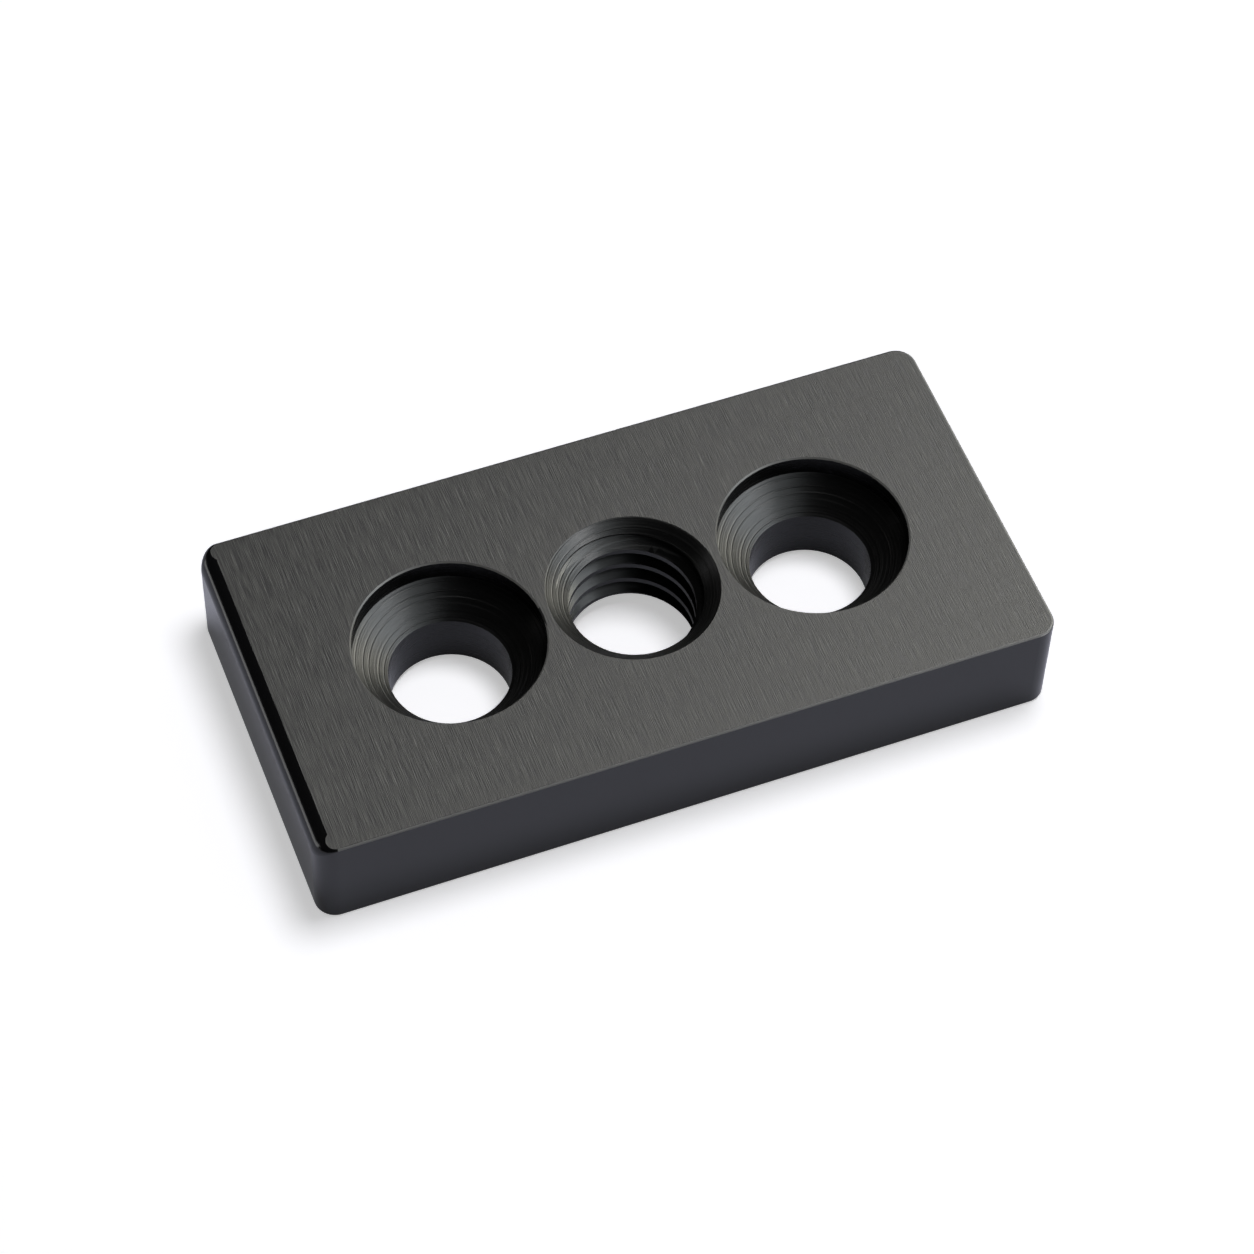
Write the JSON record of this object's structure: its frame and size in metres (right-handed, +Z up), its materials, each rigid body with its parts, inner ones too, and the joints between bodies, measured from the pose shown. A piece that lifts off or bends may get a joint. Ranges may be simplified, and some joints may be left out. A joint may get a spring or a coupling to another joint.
{
  "type": "mounting plate",
  "caption": "Rounded rectangular aluminium plate with recessed countersunk screw holes either side of a tapped centre hole, milled from solid and dark anodised.",
  "frame": {"origin": "centre of the underside", "axes": "+X along the plate, away from the end with the large round; +Y across it; +Z up out of the countersunk face"},
  "size_m": [0.04, 0.02, 0.006],
  "materials": {
    "anodised_aluminium": "satin dark anodised, brushed on the top face"
  },
  "bodies": {
    "root": {"mounting_plate": "anodised_aluminium"}
  },
  "joints": []
}
